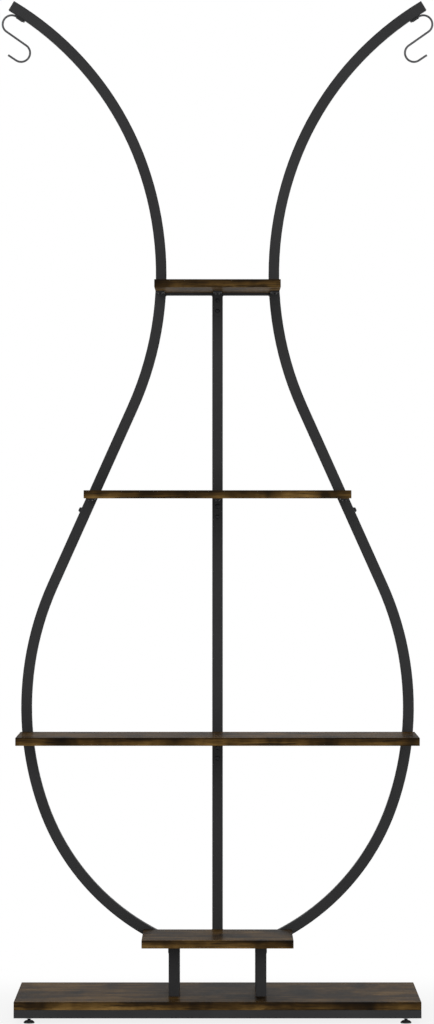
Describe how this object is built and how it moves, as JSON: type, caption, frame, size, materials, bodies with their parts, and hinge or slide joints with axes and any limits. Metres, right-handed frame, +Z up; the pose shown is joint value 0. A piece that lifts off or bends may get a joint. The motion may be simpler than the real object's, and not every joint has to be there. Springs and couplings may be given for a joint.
{
  "type": "tiered plant stand",
  "caption": "Tall free-standing plant stand: bent square tubes in a vase outline, stepped shelf boards on its front, a wide base on levelling feet and a swinging S-hook at each tip.",
  "frame": {"origin": "on the floor under the middle of the base, with the feet at their middle setting", "axes": "+Z up, -Y towards the front, where the shelves reach out, and +X to the right seen from the front"},
  "size_m": [0.8162, 0.3, 1.9055],
  "materials": {
    "black_frame": "satin black powder coat",
    "rustic_board": "rustic brown wood-grain foil, satin",
    "hook_wire": "black plated wire, semi-gloss",
    "black_hardware": "black oxide",
    "zinc_steel": "zinc plated",
    "black_plastic": "matt moulded"
  },
  "bodies": {
    "stand": {"base_board": "rustic_board", "base_screws": "black_hardware", "belly_bracket": "black_frame", "belly_left_tab": "black_frame", "belly_right_tab": "black_frame", "belly_shelf": "rustic_board", "bottom_crossbar": "black_frame", "bracket_screws": "black_hardware", "foot_inserts": "zinc_steel", "front_base_rail": "black_frame", "front_left_post": "black_frame", "front_right_post": "black_frame", "left_base_rail": "black_frame", "left_cross_rail": "black_frame", "left_hook_saddle": "black_frame", "left_joint_sleeve": "zinc_steel", "left_lower_tube": "black_frame", "left_shelf_rail": "black_frame", "left_tip_cap": "black_plastic", "left_upper_tube": "black_frame", "lower_centre_post": "black_frame", "lower_shelf": "rustic_board", "lower_shelf_screws": "black_hardware", "mid_bracket": "black_frame", "mid_left_tab": "black_frame", "mid_right_tab": "black_frame", "mid_shelf": "rustic_board", "neck_bracket": "black_frame", "neck_crossbar": "black_frame", "neck_left_tab": "black_frame", "neck_right_tab": "black_frame", "neck_shelf": "rustic_board", "post_bolts": "black_hardware", "post_joint_sleeve": "zinc_steel", "post_nut_plates": "zinc_steel", "rear_base_rail": "black_frame", "rear_left_post": "black_frame", "rear_right_post": "black_frame", "right_base_rail": "black_frame", "right_cross_rail": "black_frame", "right_hook_saddle": "black_frame", "right_joint_sleeve": "zinc_steel", "right_lower_tube": "black_frame", "right_shelf_rail": "black_frame", "right_tip_cap": "black_plastic", "right_upper_tube": "black_frame", "shelf_screws": "black_hardware", "side_joint_bolts": "black_hardware", "upper_centre_post": "black_frame"},
    "left_hook": {"left_s_hook": "hook_wire"},
    "right_hook": {"right_s_hook": "hook_wire"},
    "front_right_pad": {"front_right_foot_pad": "black_plastic"},
    "front_right_stud": {"front_right_foot_stud": "black_hardware"},
    "front_left_pad": {"front_left_foot_pad": "black_plastic"},
    "front_left_stud": {"front_left_foot_stud": "black_hardware"},
    "rear_right_pad": {"rear_right_foot_pad": "black_plastic"},
    "rear_right_stud": {"rear_right_foot_stud": "black_hardware"},
    "rear_left_pad": {"rear_left_foot_pad": "black_plastic"},
    "rear_left_stud": {"rear_left_foot_stud": "black_hardware"}
  },
  "joints": [
    {"name": "left_hook_swing", "type": "hinge", "parent": "stand", "child": "left_hook", "pos_m": [-0.37347, 0.057, 1.87236], "axis": [-0.8333, 0, 0.5529], "range_deg": [-75, 75]},
    {"name": "right_hook_swing", "type": "hinge", "parent": "stand", "child": "right_hook", "pos_m": [0.37347, 0.057, 1.87236], "axis": [0.8333, 0, 0.5529], "range_deg": [-75, 75]},
    {"name": "front_right_foot_height", "type": "slide", "parent": "stand", "child": "front_right_pad", "axis": [0, 0, -1], "range_m": [-0.003, 0.01]},
    {"name": "front_right_stud_turn", "type": "hinge", "parent": "front_right_pad", "child": "front_right_stud", "pos_m": [0.347, -0.1375, 0.002], "axis": [0, 0, -1], "range_deg": [-866, 2882]},
    {"name": "front_left_foot_height", "type": "slide", "parent": "stand", "child": "front_left_pad", "axis": [0, 0, -1], "range_m": [-0.003, 0.01]},
    {"name": "front_left_stud_turn", "type": "hinge", "parent": "front_left_pad", "child": "front_left_stud", "pos_m": [-0.347, -0.1375, 0.002], "axis": [0, 0, -1], "range_deg": [-866, 2882]},
    {"name": "rear_right_foot_height", "type": "slide", "parent": "stand", "child": "rear_right_pad", "axis": [0, 0, -1], "range_m": [-0.003, 0.01]},
    {"name": "rear_right_stud_turn", "type": "hinge", "parent": "rear_right_pad", "child": "rear_right_stud", "pos_m": [0.347, 0.1375, 0.002], "axis": [0, 0, -1], "range_deg": [-866, 2882]},
    {"name": "rear_left_foot_height", "type": "slide", "parent": "stand", "child": "rear_left_pad", "axis": [0, 0, -1], "range_m": [-0.003, 0.01]},
    {"name": "rear_left_stud_turn", "type": "hinge", "parent": "rear_left_pad", "child": "rear_left_stud", "pos_m": [-0.347, 0.1375, 0.002], "axis": [0, 0, -1], "range_deg": [-866, 2882]}
  ],
  "couplings": [
    {"joint": "front_right_stud_turn", "follows": "front_right_foot_height", "rad_per_m": 5026.5},
    {"joint": "front_left_stud_turn", "follows": "front_left_foot_height", "rad_per_m": 5026.5},
    {"joint": "rear_right_stud_turn", "follows": "rear_right_foot_height", "rad_per_m": 5026.5},
    {"joint": "rear_left_stud_turn", "follows": "rear_left_foot_height", "rad_per_m": 5026.5}
  ]
}
